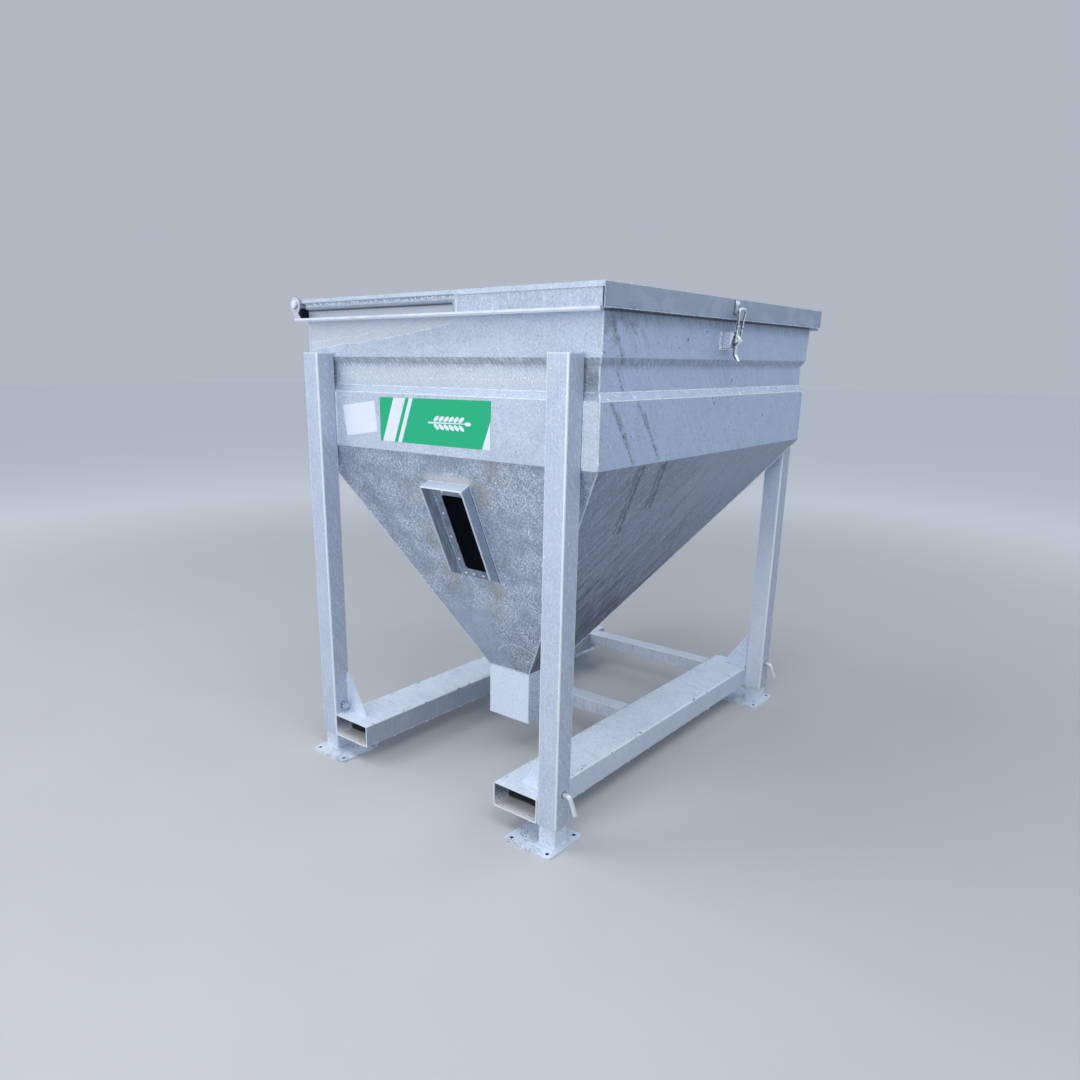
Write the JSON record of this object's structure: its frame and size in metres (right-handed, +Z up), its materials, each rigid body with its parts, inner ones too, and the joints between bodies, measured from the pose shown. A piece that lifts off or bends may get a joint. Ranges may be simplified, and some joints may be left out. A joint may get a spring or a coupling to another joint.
{
  "type": "grain silo",
  "caption": "Galvanised steel feed bin on telescoping legs, with a hinged and latched lid, a sloping hopper with a sight window, a square outlet and pockets for a forklift.",
  "frame": {"origin": "on the ground under the middle of the bounding box, level with the undersides of the foot plates", "axes": "+Z up; -Y is the front, with the sight window; +X is the side with the lid latch, -X the side with the lid hinge"},
  "size_m": [1.6024, 2.0466, 2.0185],
  "materials": {
    "sheet": "hot-dip galvanised sheet with a light spangle",
    "hopper_plate": "hot-dip galvanised plate with a dull grey spangle",
    "section": "hot-dip galvanised hollow section",
    "hardware": "bright zinc",
    "pane": "smooth and dark"
  },
  "bodies": {
    "frame": {"wall_front": "sheet", "wall_back": "sheet", "wall_left": "sheet", "wall_right": "sheet", "hopper_front": "hopper_plate", "hopper_back": "hopper_plate", "hopper_left": "hopper_plate", "hopper_right": "hopper_plate", "outlet_chute": "hopper_plate", "window_frame": "hopper_plate", "window_hood": "hopper_plate", "window_pane": "pane", "leg_front_left": "section", "leg_front_right": "section", "leg_back_left": "section", "leg_back_right": "section", "foot_front_left": "section", "foot_front_right": "section", "foot_back_left": "section", "foot_back_right": "section", "lock_bolt_front_left": "hardware", "lock_bolt_front_right": "hardware", "lock_bolt_back_left": "hardware", "lock_bolt_back_right": "hardware", "gusset_front_left": "section", "gusset_front_right": "section", "gusset_back_left": "section", "gusset_back_right": "section", "fork_channel_left": "section", "fork_channel_right": "section", "cross_member_middle": "section", "cross_member_rear": "section", "rail_front": "section", "rail_back": "section", "hinge_ear_front": "section", "hinge_ear_back": "section", "hinge_guard": "section", "latch_base": "hardware"},
    "lid": {"lid_sheet": "sheet", "lid_hinge_tube": "sheet", "lid_skirt_front": "sheet", "lid_skirt_back": "sheet", "latch_keeper": "hardware"},
    "latch_lever": {"latch_lever": "hardware"},
    "latch_bow": {"latch_bow": "hardware"}
  },
  "joints": [
    {"name": "lid_hinge", "type": "hinge", "parent": "frame", "child": "lid", "pos_m": [-0.76875, 0, 1.986], "axis": [0, -1, 0], "range_deg": [0, 110]},
    {"name": "latch_lever_hinge", "type": "hinge", "parent": "frame", "child": "latch_lever", "pos_m": [0.77525, 0, 1.872], "axis": [0, -1, 0], "range_deg": [0, 150]},
    {"name": "latch_bow_hinge", "type": "hinge", "parent": "latch_lever", "child": "latch_bow", "pos_m": [0.78525, 0, 1.848], "axis": [0, -1, 0], "range_deg": [-170, 0]}
  ],
  "couplings": [
    {"joint": "latch_bow_hinge", "follows": "latch_lever_hinge", "ratio": -1.1}
  ]
}
